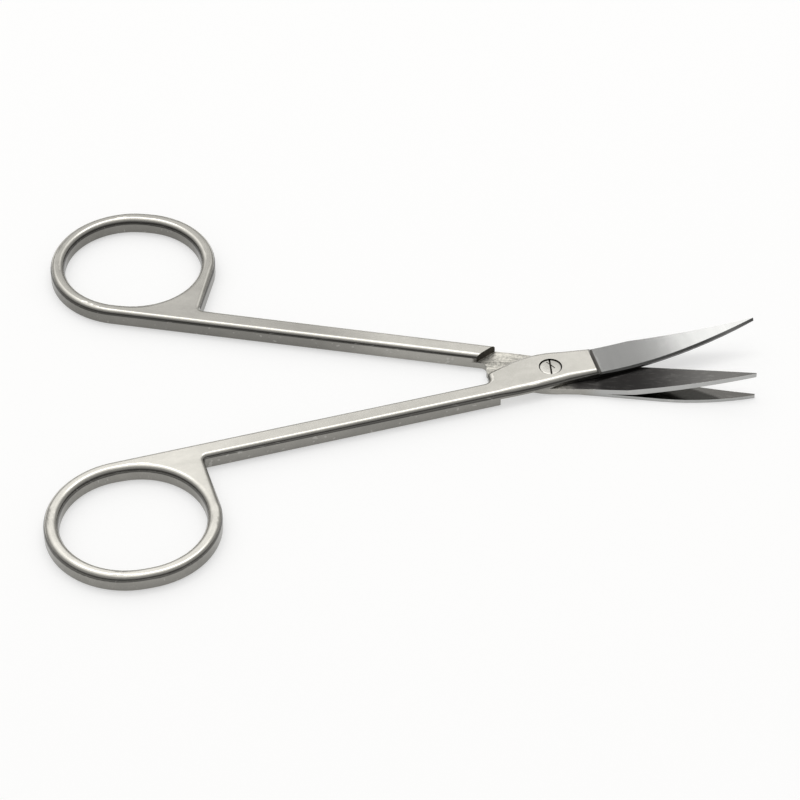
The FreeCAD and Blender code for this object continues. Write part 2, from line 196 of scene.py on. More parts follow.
# %% [markdown]
# Every finish on a scissor half runs along that half, so each material first
# needs to know how far along the half a point lies, how high, and how it faces.
# The object's own coordinates turn with the half when it swings, so the finish
# stays put at every opening. They only need a turn back by half the opening.

# %% Group: the half's own measuring frame
half_frame, gin, gout = start_group(
    "half_frame", [("Turn", "Float", 0.0)],
    [("Place", "Vector"), ("Along", "Float"), ("Height", "Float"), ("Facing up", "Float")])
spot = add(half_frame, "ShaderNodeTexCoord")
turned = add(half_frame, "ShaderNodeVectorRotate", {"rotation_type": "Z_AXIS"}, Vector=spot.outputs["Object"])
feed(half_frame, turned.inputs["Angle"], gin.outputs["Turn"])
in_mm = add(half_frame, "ShaderNodeVectorMath", {"operation": "SCALE"}, Vector=turned.outputs["Vector"])
in_mm.inputs["Scale"].default_value = 1 / MM
parts = add(half_frame, "ShaderNodeSeparateXYZ", None, Vector=in_mm.outputs["Vector"])
facing = add(half_frame, "ShaderNodeSeparateXYZ", None, Vector=spot.outputs["Normal"])
feed(half_frame, gout.inputs["Place"], in_mm.outputs["Vector"])
feed(half_frame, gout.inputs["Along"], parts.outputs["X"])
feed(half_frame, gout.inputs["Height"], parts.outputs["Z"])
feed(half_frame, gout.inputs["Facing up"], facing.outputs["Z"])
print("group:", half_frame.name)

# %% [markdown]
# Satin steel is blasted with fine glass beads after polishing. Close up it is
# an even field of tiny dimples; from further away its grey shifts softly,
# where the polish underneath was uneven or fingers have been. One fine noise
# makes the dimples and the gloss that they cost, two coarse ones the drift in
# tone.

# %% Group: satin blasting
satin, gin, gout = start_group(
    "satin_blasting", [("Place", "Vector", None), ("Dimple size", "Float", 9.0), ("Drift", "Float", 0.5)],
    [("Tone", "Float"), ("Gloss loss", "Float"), ("Height", "Float")])
place = gin.outputs["Place"]
dimples = noise(satin, place, gin.outputs["Dimple size"], 3.0, Roughness=0.6)
drift = noise(satin, stretch(satin, place, (0.10, 0.28, 0.28)), 1.0, 3.0, Roughness=0.55)
cloud = noise(satin, place, 0.7, 4.0, Roughness=0.6)
both = plus(satin, times(satin, drift, 0.65), times(satin, cloud, 0.35))
swing = times(satin, maths(satin, "SUBTRACT", both, 0.5), gin.outputs["Drift"])
about_zero = maths(satin, "SUBTRACT", dimples, 0.5)
feed(satin, gout.inputs["Tone"], plus(satin, plus(satin, swing, times(satin, about_zero, 0.04)), 1.0))
feed(satin, gout.inputs["Gloss loss"], times(satin, about_zero, 0.08))
feed(satin, gout.inputs["Height"], dimples)
print("group:", satin.name)

# %% [markdown]
# Steel that has been handled carries hairline scratches, long and thin and in
# nearly one direction. Stretching a noise far along one axis and keeping only
# its peaks gives such lines. Three sets at different angles look less
# mechanical than one.

# %% Group: hairline scratches
hairlines, gin, gout = start_group(
    "hairline_scratches", [("Place", "Vector", None), ("Amount", "Float", 0.5)], [("Mask", "Float")])
sets = []
for angle, seed_shift in ((0.12, 0.0), (-0.35, 7.0), (1.1, 13.0)):
    lines = stretch(hairlines, gin.outputs["Place"], (0.35, 16.0, 1.0), (0.0, 0.0, angle))
    moved = add(hairlines, "ShaderNodeVectorMath", {"operation": "ADD"}, Vector=lines)
    moved.inputs[1].default_value = (seed_shift, seed_shift, seed_shift)
    sets.append(ramp(hairlines, noise(hairlines, moved.outputs["Vector"], 1.0, 1.0), 0.70, 0.76))
top_two = maths(hairlines, "MAXIMUM", sets[0], sets[1])
mask = maths(hairlines, "MAXIMUM", top_two, sets[2])
feed(hairlines, gout.inputs["Mask"], times(hairlines, mask, gin.outputs["Amount"]))
print("group:", hairlines.name)

# %% [markdown]
# A ground face shows the path of the grinding wheel: fine parallel lines, all
# of one direction. They are narrow enough to be seen only as a change in how
# the light spreads, so they go into the height, and only a little into the
# tone.

# %% Group: grinding lines
grinding, gin, gout = start_group(
    "grinding_lines", [("Place", "Vector", None), ("Turn", "Vector", None), ("Lines per mm", "Float", 7.0)],
    [("Height", "Float"), ("Tone", "Float")])
aligned = add(grinding, "ShaderNodeMapping", None, Vector=gin.outputs["Place"])
feed(grinding, aligned.inputs["Rotation"], gin.outputs["Turn"])
aligned.inputs["Scale"].default_value = (1.0, 0.05, 0.3)
fine = noise(grinding, aligned.outputs["Vector"], gin.outputs["Lines per mm"], 4.0, Roughness=0.7)
broad = noise(grinding, aligned.outputs["Vector"], 1.1, 2.0)
feed(grinding, gout.inputs["Height"], fine)
mix = plus(grinding, times(grinding, fine, 0.5), times(grinding, broad, 0.5))
feed(grinding, gout.inputs["Tone"], plus(grinding, times(grinding, mix, 0.24), 0.88))
print("group:", grinding.name)

# %% [markdown]
# Corners of a steel tool take the most rubbing and end up a little brighter
# and smoother. The Bevel node gives the normal that a rounded corner would
# have; where it differs from the real normal, there is a corner. The mask is
# broken up with noise, since nothing wears evenly.

# %% Group: rubbed edges
rubbed, gin, gout = start_group(
    "rubbed_edges", [("Place", "Vector", None), ("Width", "Float", 0.12), ("Amount", "Float", 0.6)],
    [("Mask", "Float")])
corner = add(rubbed, "ShaderNodeBevel", {"samples": 4})
feed(rubbed, corner.inputs["Radius"], times(rubbed, gin.outputs["Width"], MM))
true_normal = add(rubbed, "ShaderNodeNewGeometry")
match = add(rubbed, "ShaderNodeVectorMath", {"operation": "DOT_PRODUCT"})
feed(rubbed, match.inputs[0], corner.outputs["Normal"])
feed(rubbed, match.inputs[1], true_normal.outputs["Normal"])
turned_away = ramp(rubbed, match.outputs["Value"], 0.995, 0.90)
broken = ramp(rubbed, noise(rubbed, gin.outputs["Place"], 2.4, 3.0), 0.35, 0.62, 0.35, 1.0)
feed(rubbed, gout.inputs["Mask"], times(rubbed, turned_away, broken, gin.outputs["Amount"]))
print("group:", rubbed.name)

# %% [markdown]
# One steel, several finishes: that is how a scissor half really looks. The
# handle is satin, the blade is ground bright, and the back half's lap is
# milled flat and left rough. A mask chooses the finish by where the point
# lies, and the Principled shader stays the same metal underneath.

# %% The finishes' colours and gloss
SATIN = (0.545, 0.531, 0.490, 1.0)
GROUND = (0.480, 0.482, 0.474, 1.0)
MILLED = (0.400, 0.388, 0.352, 1.0)
WORN = (0.620, 0.610, 0.580, 1.0)
# The dark colours from here to the low leaf are painted shade, not colours of the steel itself.
PAINTED_SHADE = (0.060, 0.054, 0.046, 1.0)
LEAF_SHADE_ROOT = (0.041, 0.039, 0.038, 1.0)
LEAF_SHADE_TIP = (0.097, 0.095, 0.091, 1.0)
LOW_LEAF_SHADE = (0.122, 0.119, 0.112, 1.0)
SATIN_ROUGH, GROUND_ROUGH, MILLED_ROUGH = 0.23, 0.14, 0.42
print("satin", SATIN[:3], "ground", GROUND[:3])


# %% [markdown]
# The next functions each add one finish to a material's graph. They all ask
# the same things about a point, so the answers are gathered first: where it
# is, how far along and how high, how it faces, and how level its surface lies.

# %% What the finishes ask about a point
def read_place(tree, turn):
    where = place_group(tree, half_frame, Turn=turn)
    facing = where.outputs["Facing up"]
    level = maths(tree, "ABSOLUTE", facing)
    return SimpleNamespace(
        point=where.outputs["Place"], along=where.outputs["Along"], height=where.outputs["Height"],
        facing=facing, level=level, upright=ramp(tree, level, 0.30, 0.05))


print("place reader ready")


# %% [markdown]
# The satin gets painted shade away from its flat tops: the upright walls are painted darker, the lower part
# of each rounding darkest, and the small chamfer underneath dark too. In the graph each of them is a range of
# how level a point lies, and the painted shade is the product of their tones.

# %% Painted shade on the satin away from the flats
# How dark the painted shade makes the lower roundings and the chamfer underneath.
BELT_SHADE, CHAMFER_SHADE = 0.20, 0.30


def painted_satin_shade(tree, at, wall_shade):
    # painted shade on the walls, the lower roundings and the chamfer underneath
    belt = times(tree, ramp(tree, at.level, 0.04, 0.16), ramp(tree, at.level, 0.76, 0.45))
    chamfer = times(tree, ramp(tree, at.facing, -0.20, -0.50), ramp(tree, at.facing, -0.95, -0.85))
    return times(tree, fade(tree, at.upright, 1.0, wall_shade), fade(tree, belt, 1.0, BELT_SHADE),
                 fade(tree, chamfer, 1.0, CHAMFER_SHADE))


print("belt tone", BELT_SHADE, "chamfer tone", CHAMFER_SHADE)


# %% [markdown]
# The back half's lap is the flat that slides under the front half. It keeps
# the marks of the milling cutter: slanting lines with pits between them. They
# are deep enough to need a relief, and not only a darker grey.

# %% The milled lap
LAP_EASE, LAP_TOLERANCE, LAP_RELIEF = 0.5, 0.06, 0.06
PIT_SCALE, PIT_SHARE = 2.6, 0.6
CUTTER_STRETCH, CUTTER_TURN, CUTTER_SHARE = (0.25, 2.4, 1.0), (0.0, 0.0, 0.85), 0.5
LAP_DARKEST, LAP_BRIGHTEST = 0.35, 1.75


def milled_lap(tree, at, blade, colour, rough, height):
    on_lap = maths(tree, "COMPARE", at.height, LAP_HEIGHT, LAP_TOLERANCE)
    reach = ramp(tree, at.along, -LAP_END - LAP_EASE, -LAP_END)
    lap = times(tree, on_lap, reach, maths(tree, "SUBTRACT", 1.0, blade))
    pits = noise(tree, at.point, PIT_SCALE, 5.0, Roughness=0.8)
    cutter = noise(tree, stretch(tree, at.point, CUTTER_STRETCH, CUTTER_TURN), 1.0, 3.0)
    skin = plus(tree, times(tree, pits, PIT_SHARE), times(tree, cutter, CUTTER_SHARE))
    milled = toned(tree, MILLED, ramp(tree, skin, 0.35, 0.75, LAP_DARKEST, LAP_BRIGHTEST))
    colour = blend(tree, lap, colour, milled)
    rough = plus(tree, rough, times(tree, lap, MILLED_ROUGH - SATIN_ROUGH))
    height = plus(tree, height, times(tree, skin, lap, LAP_RELIEF))
    return colour, rough, height


print("lap at", LAP_HEIGHT, "mm, back to", -LAP_END, "mm")


# %% [markdown]
# The back half gets painted light and shade in three places. Its shank has painted shade towards the ring and
# painted light towards the joint, and a painted highlight on the rounded edges. The leaves of its forked
# blade get painted shade, darkest at the root and lighter towards the tip, with its own tone on the lower
# leaf, and painted shade lies against the upright step where the shank ends. The painted shade on the leaves
# lies on faces that look up, so the bevels stay bright.

# %% The back half's painted light and shade
# Painted shade towards the ring, painted light near the joint and on the roundings, then painted shade on the
# leaves and at the step.
SHANK_SHADING_FROM, SHANK_SHADING_TO, SHANK_SHADE, SHANK_LIGHT = -40.0, -24.0, 0.68, 1.10
ROUNDING_HIGHLIGHT_SHARE, ROUNDING_HIGHLIGHT = 0.85, 1.15
LEAF_FROM, LEAF_FULL, LEAF_SHADE_FROM, LEAF_SHADE_TO = 0.5, 5.0, 13.0, 30.0
STEP_FROM, STEP_TO, STEP_SHADE = -13.0, -8.8, 0.90


def back_painted_shading(tree, at, blade, colour):
    # painted shade towards the ring, painted light near the joint, painted highlight on the roundings
    painted_shading = ramp(tree, at.along, SHANK_SHADING_FROM, SHANK_SHADING_TO, SHANK_SHADE, SHANK_LIGHT)
    rounded = times(tree, ramp(tree, at.level, 0.35, 0.55), ramp(tree, at.level, 0.995, 0.94), ROUNDING_HIGHLIGHT_SHARE)
    painted_shading = fade(tree, rounded, painted_shading, ROUNDING_HIGHLIGHT)
    colour = toned(tree, colour, fade(tree, blade, painted_shading, 1.0))
    # painted shade on the leaves' upward faces, under the front blade
    leaves = times(tree, ramp(tree, at.along, LEAF_FROM, LEAF_FULL), ramp(tree, at.facing, 0.955, 0.975))
    leaf_shade = blend(tree, ramp(tree, at.along, LEAF_SHADE_FROM, LEAF_SHADE_TO), LEAF_SHADE_ROOT, LEAF_SHADE_TIP)
    leaf_shade = blend(tree, ramp(tree, at.height, 1.0, 0.8), leaf_shade, LOW_LEAF_SHADE)
    colour = blend(tree, leaves, colour, leaf_shade)
    # painted shade against the upright step
    step = times(tree, ramp(tree, at.along, STEP_FROM, STEP_FROM + 0.6),
                 ramp(tree, at.along, STEP_TO, STEP_TO - 0.4), at.upright,
                 ramp(tree, at.height, LAP_HEIGHT + 0.01, LAP_HEIGHT + 0.09), STEP_SHADE)
    return blend(tree, step, colour, PAINTED_SHADE)


print("back shank dull before", SHANK_SHADING_FROM, "mm and fresh after", SHANK_SHADING_TO, "mm")


# %% [markdown]
# The front half gets painted light on top near the ring and near the joint. At the shoulder, where the blade
# is ground down from the joint, a dark band of painted shade lies in the corner, and the first two
# millimetres of the blade's flat next to it get painted shade too.

# %% The front half's painted light and shade
# Amounts of painted light near the ring and the joint, and of painted shade at the shoulder.
PLAIN_AT, RING_FROM, JOINT_FROM = -44.0, -64.0, -26.0      # mm along the shank
RING_PAINTED_LIGHT, JOINT_PAINTED_LIGHT, BAND_SHADE, ROOT_SHADE = 0.12, 0.10, 0.86, 0.62


def front_painted_shading(tree, at, blade, colour):
    # painted light on top near the ring and the joint
    on_top = ramp(tree, at.level, 0.45, 0.75)
    near_ring = times(tree, on_top, ramp(tree, at.along, PLAIN_AT, RING_FROM, 0.0, RING_PAINTED_LIGHT))
    near_joint = times(tree, on_top, ramp(tree, at.along, PLAIN_AT, JOINT_FROM, 0.0, JOINT_PAINTED_LIGHT))
    gain = plus(tree, near_ring, times(tree, near_joint, fade(tree, blade, 1.0, 0.0)))
    colour = toned(tree, colour, plus(tree, 1.0, gain))
    # a band of painted shade in the shoulder's corner
    band = times(tree, ramp(tree, at.along, SHOULDER - 0.52, SHOULDER - 0.44),
                 ramp(tree, at.along, SHOULDER + 0.40, SHOULDER + 0.28), on_top,
                 ramp(tree, at.height, 2.1, 2.2), BAND_SHADE)
    colour = blend(tree, band, colour, PAINTED_SHADE)
    # painted shade on the blade's flat next to the shoulder
    root = times(tree, ramp(tree, at.level, 0.9990, 0.9996),
                 ramp(tree, at.along, SHOULDER + 3.0, SHOULDER + 2.0), blade)
    return toned(tree, colour, fade(tree, root, 1.0, ROOT_SHADE))


print("shoulder band at", SHOULDER, "mm")


# %% [markdown]
# The handle's satin gives over to the ground blade: sharply at the front half's shoulder, softly on the back
# half, which has none. The mask of the blade mixes the two in colour, gloss and relief. Each half has its own
# painted shade for the walls of the satin and for the slanting bevels of the blade.

# %% Satin handle and ground blade
# The wall and bevel values are painted shade on the satin walls and on the blade's bevels.
BACK_LOOK = SimpleNamespace(before=2.0, after=1.5, wall_shade=0.58, bevel_shade=0.88)
FRONT_LOOK = SimpleNamespace(before=0.01, after=0.01, wall_shade=0.50, bevel_shade=0.38)
GRINDING_TURN = math.radians(8)
DIMPLE_DEPTH, GRINDING_DEPTH = 0.0006, 0.0012


def handle_and_blade(tree, at, blade, look):
    blasted = place_group(tree, satin, Place=at.point, Dimple_size=8.0, Drift=0.55)
    ground = place_group(tree, grinding, Place=at.point, Lines_per_mm=6.0)
    ground.inputs["Turn"].default_value = (0.0, 0.0, GRINDING_TURN)
    dimpled = toned(tree, SATIN, times(tree, blasted.outputs["Tone"], painted_satin_shade(tree, at, look.wall_shade)))
    # painted shade on the blade's slanting bevels
    bevels = ramp(tree, at.level, 0.70, 0.93, look.bevel_shade, 1.0)
    bright = toned(tree, GROUND, times(tree, ground.outputs["Tone"], bevels))
    colour = blend(tree, blade, dimpled, bright)
    handle = maths(tree, "SUBTRACT", 1.0, blade)
    rough = times(tree, plus(tree, blasted.outputs["Gloss loss"], SATIN_ROUGH), handle)
    rough = plus(tree, rough, times(tree, blade, GROUND_ROUGH))
    height = plus(tree, times(tree, blasted.outputs["Height"], DIMPLE_DEPTH),
                  times(tree, ground.outputs["Height"], blade, GRINDING_DEPTH))
    return colour, rough, height


print("the blade's grinding lines are turned by", round(math.degrees(GRINDING_TURN), 1), "degrees")


# %% [markdown]
# Now the finishes come together. Both halves share this function, and each then gets its own painted light
# and shade. Scratches and rubbed corners lie over everything else, so they come last, and rubbed steel is a
# little smoother too.

# %% The steel of a scissor half
SCRATCH_SHARE, RUBBED_GLOSS = 0.5, 0.06


def half_steel(name, turn, look, with_lap):
    material, tree, steel = new_metal(name)
    at = read_place(tree, turn)
    blade = ramp(tree, at.along, SHOULDER - look.before, SHOULDER + look.after)
    colour, rough, height = handle_and_blade(tree, at, blade, look)
    if with_lap:
        colour, rough, height = milled_lap(tree, at, blade, colour, rough, height)
        colour = back_painted_shading(tree, at, blade, colour)
    else:
        colour = front_painted_shading(tree, at, blade, colour)
    scratch = place_group(tree, hairlines, Place=at.point, Amount=0.5).outputs["Mask"]
    worn = place_group(tree, rubbed, Place=at.point, Width=0.10, Amount=0.55).outputs["Mask"]
    colour = blend(tree, times(tree, scratch, SCRATCH_SHARE), colour, WORN)
    colour = blend(tree, worn, colour, WORN)
    feed(tree, steel.inputs["Base Color"], colour)
    feed(tree, steel.inputs["Roughness"], maths(tree, "SUBTRACT", rough, times(tree, worn, RUBBED_GLOSS)))
    add_relief(tree, steel, height)
    return material


back_steel = half_steel("back_half_steel", OPENING / 2, BACK_LOOK, True)
front_steel = half_steel("front_half_steel", -OPENING / 2, FRONT_LOOK, False)
print("materials:", back_steel.name, front_steel.name)


# %% [markdown]
# The solids have one rounding along every top edge. On the real halves the
# outer edges, which the hand meets, are rounder, and the inner ones crisper.
# A finer skin is a copy of the solid's mesh in which the points of the
# rounding move to another radius. A point at the angle a on the old rounding
# goes to the same angle on the new one, so the shading stays true.

# %% Sizes of the outline, in mm, with the ring on +Y
RING_AT, HALF_STRAIGHT, HOLE_RADIUS, RING_OUT = (-72.2, 17.6), 0.55, 10.95, 13.3
TOUCH, THROAT = (-73.45, 4.32), (-11.5, 1.05)        # ends of the shank's inner edge
NOTCH, SHANK_END = (-58.9, 6.9), (-9.5, 4.19)        # ends of its outer edge
NEAR_END, NEAR_RADIUS, SHOULDER_AT = (2.5, 3.2), 90.0, (7.5, 3.0)
SOLID_OUTER, SOLID_HOLE = 0.8, 1.0
SKIN_OUTER, SKIN_INNER, SKIN_HOLE = 1.08, 0.5, 1.08
SKIN_TOUCH = 0.9     # where the shank's inner edge runs into the ring
FIT = 0.03           # how near to a rounding a point has to lie
print("roundings:", SOLID_OUTER, "becomes", SKIN_OUTER, "outside and", SKIN_INNER, "inside")


# %% [markdown]
# Each boundary of the outline is a small function. It takes a point and gives
# how far the point lies inside the steel, and the way out.

# %% How far inside each boundary a point lies
def ease(value, low, high):
    share = min(1.0, max(0.0, (value - low) / (high - low)))
    return share * share * (3 - 2 * share)


def from_core(point):
    core = Vector((min(max(point.x, RING_AT[0] - HALF_STRAIGHT), RING_AT[0] + HALF_STRAIGHT), RING_AT[1]))
    return (point - core).length, (point - core).normalized()


def from_line(point, start, end):
    along = (Vector(end) - Vector(start)).normalized()
    out = Vector((-along.y, along.x))
    return (Vector(start) - point).dot(out), out


def from_arc(point, start, end, radius):
    middle = (Vector(start) + Vector(end)) / 2
    chord = Vector(end) - Vector(start)
    out = Vector((-chord.y, chord.x)).normalized()
    if out.y < 0:
        out.negate()
    centre = middle - out * math.sqrt(radius ** 2 - chord.length_squared / 4)
    return radius - (point - centre).length, (point - centre).normalized()


print("boundaries ready")


# %% [markdown]
# Now the boundaries are listed for a point, each with its old radius and the
# new one. The new radius eases from one value to the next over a few
# millimetres, so that no edge changes its roundness in a jump.

# %% Which rounding a point may belong to
SHANK_SECTOR, NOTCH_SECTOR = (-92, -42), (-60, 0)      # directions from the ring's middle, in degrees


def roundings(point):
    reach, out = from_core(point)
    turned_to = math.degrees(math.atan2(out.y, out.x))
    from_touch = ease(TOUCH[0] - point.x, 0.0, 7.0)
    ring = SKIN_TOUCH + (SKIN_OUTER - SKIN_TOUCH) * from_touch
    if NOTCH_SECTOR[0] < turned_to < NOTCH_SECTOR[1]:
        ring = SOLID_OUTER + (SKIN_OUTER - SOLID_OUTER) * ease(turned_to, -38.0, -15.0)
    inner = SKIN_INNER + (SKIN_TOUCH - SKIN_INNER) * ease(-point.x, 50.0, 66.0)
    inner += (SOLID_OUTER - SKIN_INNER) * ease(point.x, -20.0, -13.0)
    outer = SOLID_OUTER + (SKIN_OUTER - SOLID_OUTER) * ease(point.x, NOTCH[0] + 0.8, NOTCH[0] + 6.0)
    near = SOLID_OUTER + (SKIN_OUTER - SOLID_OUTER) * ease(-point.x, -7.0, -4.5)
    found = [(reach - HOLE_RADIUS, -out, SOLID_HOLE, SKIN_HOLE)]
    if not SHANK_SECTOR[0] <= turned_to <= SHANK_SECTOR[1]:
        found.append((RING_OUT - reach, out, SOLID_OUTER, ring))
    if TOUCH[0] <= point.x <= THROAT[0]:
        found.append((*from_line(point, TOUCH, THROAT), SOLID_OUTER, inner))
    if NOTCH[0] < point.x < SHANK_END[0]:
        found.append((*from_line(point, SHANK_END, NOTCH), SOLID_OUTER, outer))
    if SHANK_END[0] <= point.x <= NEAR_END[0]:
        found.append((*from_arc(point, SHANK_END, NEAR_END, NEAR_RADIUS), SOLID_OUTER, near))
    if point.x > NEAR_END[0]:
        found.append((*from_line(point, SHOULDER_AT, NEAR_END), SOLID_OUTER, near))
    return found


print("roundings at the pivot:", len(roundings(Vector((0.0, 0.0)))))


# %% [markdown]
# A point belongs to the rounding that it lies on most exactly. One that lies
# on none, such as a point of a flat face or of the blade, stays where it is.

# %% Move one point from the old rounding to the new one
def reshaped(point, height):
    best = None
    for inside, out, old, new in roundings(point):
        deep, high = old - inside, height - (TOP - old)
        error = abs(math.hypot(deep, high) - old)
        if error < FIT and deep > -FIT and high > -FIT and (best is None or error < best[0]):
            best = (error, inside, out, new, math.atan2(max(high, 0.0), max(deep, 0.0)))
    if best is None:
        return point, height
    inside, out, new, angle = best[1:]
    return point + out * (inside - new * (1 - math.cos(angle))), TOP - new * (1 - math.sin(angle))


print("a flat point stays:", reshaped(Vector((-40.0, 3.0)), TOP)[1] == TOP)


# %% [markdown]
# The outline above is drawn for the half with its ring on +Y, lying straight.
# So each vertex is turned back by half the opening, and mirrored for the other
# half, before it is moved. The normals of the old mesh are kept, since the
# new rounding has the same ones.

# %% The skins of both halves
def finer_skin(node, name, turn, side, body, material):
    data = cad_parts[node].data.copy()
    data.name = name
    shading = [corner.vector.copy() for corner in data.corner_normals]
    back = Matrix.Rotation(turn, 2)
    moved = 0
    for vertex in data.vertices:
        flat = back @ vertex.co.xy / MM
        flat.y *= side
        spot, height = reshaped(flat, vertex.co.z / MM)
        if spot is flat:
            continue
        moved += 1
        spot = Vector((spot.x, spot.y * side))
        vertex.co.xy = back.transposed() @ spot * MM
        vertex.co.z = height * MM
    data.normals_split_custom_set(shading)
    data.materials.clear()
    data.materials.append(material)
    piece = bpy.data.objects.new(name, data)
    bpy.context.scene.collection.objects.link(piece)
    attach(piece, body)
    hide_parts(node)
    print(name, "moved", moved, "of", len(data.vertices), "points")
    return piece


finer_skin("back_half", "back_half_skin", OPENING / 2, 1, "back", back_steel)
finer_skin("front_half", "front_half_skin", -OPENING / 2, -1, "front", front_steel)

# %% [markdown]
# The pivot screw is turned on a lathe, so its skin shows rings about the
# axis. Its slot is sawn afterwards. The quickest way would be a cylinder with
# a box cut out, but the head of a real one is slightly crowned and its corners
# are broken, so a profile is turned here ring by ring.

# %% The screw's profile, from the tail to the crown
HEAD_RADIUS, BODY_RADIUS, HEAD_BASE, CROWN = 1.85, 1.10, 2.04, 2.88
HEAD_EDGE, EDGE_BREAK = 2.76, 0.13
profile = [(0.0, 0.0), (0.75, 0.0), (BODY_RADIUS - 0.06, 0.0), (BODY_RADIUS, 0.06), (BODY_RADIUS, HEAD_BASE),
           (HEAD_RADIUS - 0.05, HEAD_BASE), (HEAD_RADIUS, HEAD_BASE + 0.05), (HEAD_RADIUS, HEAD_EDGE - 0.16),
           (HEAD_RADIUS - 0.03, HEAD_EDGE - 0.12), (HEAD_RADIUS - EDGE_BREAK + 0.02, HEAD_EDGE - 0.02),
           (HEAD_RADIUS - EDGE_BREAK, HEAD_EDGE)]
CROWN_RINGS = 10
for ring in range(1, CROWN_RINGS + 1):
    share = 1 - ring / CROWN_RINGS
    radius = (HEAD_RADIUS - EDGE_BREAK) * share
    profile.append((radius, HEAD_EDGE + (CROWN - HEAD_EDGE) * (1 - share * share)))
print("profile points:", len(profile))


# %% [markdown]
# To turn the profile, each of its points becomes a ring of vertices, and
# neighbouring rings are joined with faces. A point on the axis is one vertex,
# and the faces that meet there are triangles.

# %% Turn the profile into a mesh
SCREW_STEPS = 128


def turn_profile(name, points, steps):
    mesh = bmesh.new()
    rings = []
    for radius, height in points:
        if radius < 1e-6:
            rings.append([mesh.verts.new((0, 0, height * MM))])
            continue
        rings.append([mesh.verts.new((radius * math.cos(2 * math.pi * k / steps) * MM,
                                      radius * math.sin(2 * math.pi * k / steps) * MM, height * MM))
                      for k in range(steps)])
    for low, high in zip(rings, rings[1:]):
        for k in range(steps):
            after = (k + 1) % steps
            corners = [low[k % len(low)], low[after % len(low)], high[after % len(high)], high[k % len(high)]]
            mesh.faces.new(list(dict.fromkeys(corners)))
    bmesh.ops.recalc_face_normals(mesh, faces=mesh.faces)
    data = bpy.data.meshes.new(name)
    mesh.to_mesh(data)
    mesh.free()
    made = bpy.data.objects.new(name, data)
    bpy.context.scene.collection.objects.link(made)
    return made


screw = turn_profile("screw_turned", profile, SCREW_STEPS)
print("screw faces:", len(screw.data.polygons))

# %% [markdown]
# The slot is cut with a Boolean modifier, and so is the nick beside it, where a driver has slipped. A Bevel
# modifier that only takes sharp edges softens the lips. All are applied at once, so that the mesh is the
# shape that is seen.

# %% Helpers for cutting
def apply_modifiers(piece):
    bpy.context.view_layer.update()
    shaped = piece.evaluated_get(bpy.context.evaluated_depsgraph_get())
    data = bpy.data.meshes.new_from_object(shaped)
    piece.modifiers.clear()
    piece.data = data


def add_cutter(name, size, place, turn):
    mesh = bmesh.new()
    bmesh.ops.create_cube(mesh, size=1.0)
    sized = Matrix.Diagonal((*(Vector(size) * MM), 1))
    shape = Matrix.Rotation(turn, 4, "Z") @ Matrix.Translation(Vector(place) * MM) @ sized
    bmesh.ops.transform(mesh, matrix=shape, verts=mesh.verts)
    data = bpy.data.meshes.new(name)
    mesh.to_mesh(data)
    mesh.free()
    tool = bpy.data.objects.new(name, data)
    bpy.context.scene.collection.objects.link(tool)
    cut = screw.modifiers.new(name, "BOOLEAN")
    cut.object = tool
    cut.operation = "DIFFERENCE"
    cut.solver = "EXACT"
    return tool


print("cutting helpers ready")

# %% Cut the driver slot and the nick
SLOT_WIDTH, SLOT_DEPTH = 0.30, 0.40
SLOT_BOX = (SLOT_WIDTH, 6, 2)        # long enough to cross the head, and higher than it
NICK_DEPTH, NICK_BOX = 0.29, (0.17, 2.0, 1)
NICK_AT, NICK_TURN = (0.30, 0.28), math.radians(37)
SCREW_TURN = math.radians(1)
LIP_WIDTH, LIP_ANGLE = 0.03, math.radians(50)
slot_height = CROWN - SLOT_DEPTH + SLOT_BOX[2] / 2
nick_height = CROWN - NICK_DEPTH + NICK_BOX[2] / 2
cutters = [add_cutter("slot_cutter", SLOT_BOX, (0, 0, slot_height), 0.0),
           add_cutter("nick_cutter", NICK_BOX, (*NICK_AT, nick_height), NICK_TURN)]
lips = screw.modifiers.new("lips", "BEVEL")
lips.width = LIP_WIDTH * MM
lips.segments = 3
lips.limit_method = "ANGLE"
lips.angle_limit = LIP_ANGLE
apply_modifiers(screw)
for tool in cutters:
    bpy.data.objects.remove(tool)
screw.data.transform(Matrix.Rotation(SCREW_TURN, 4, "Z"))
screw.data.shade_smooth()
print("screw after the slot:", len(screw.data.polygons), "faces")

# %% [markdown]
# The screw's finish has turning rings, which are a noise of the distance from
# the axis, hairlines where a driver slipped, and rubbed edges. The two last
# come from the groups above.

# %% The screw's turned steel
SCREW_TINT = (0.545, 0.532, 0.495, 1.0)
screw_steel, tree, steel = new_metal("screw_steel_turned")
where = place_group(tree, half_frame, Turn=0.0)
place = where.outputs["Place"]
flat = add(tree, "ShaderNodeVectorMath", {"operation": "MULTIPLY"}, Vector=place)
flat.inputs[1].default_value = (1.0, 1.0, 0.0)
from_axis = add(tree, "ShaderNodeVectorMath", {"operation": "LENGTH"}, Vector=flat.outputs["Vector"])
reach = from_axis.outputs["Value"]
ringed = add(tree, "ShaderNodeCombineXYZ", None, X=reach, Y=0.0, Z=0.0)
turning = noise(tree, ringed.outputs["Vector"], 9.0, 4.0, Roughness=0.7)
skin = place_group(tree, satin, Place=place, Dimple_size=10.0, Drift=0.6)
slips = place_group(tree, hairlines, Place=place, Amount=0.8).outputs["Mask"]
worn = place_group(tree, rubbed, Place=place, Width=0.06, Amount=0.7).outputs["Mask"]
turned_tone = ramp(tree, turning, 0.3, 0.7, 0.86, 1.08)
bare = toned(tree, SCREW_TINT, times(tree, skin.outputs["Tone"], turned_tone))
bare = blend(tree, maths(tree, "MAXIMUM", worn, slips), bare, WORN)
print("material:", screw_steel.name)

# %% [markdown]
# Painted shade darkens the steel in the groove round the head and on the floor of the slot, and the steel
# there loses its gloss too.

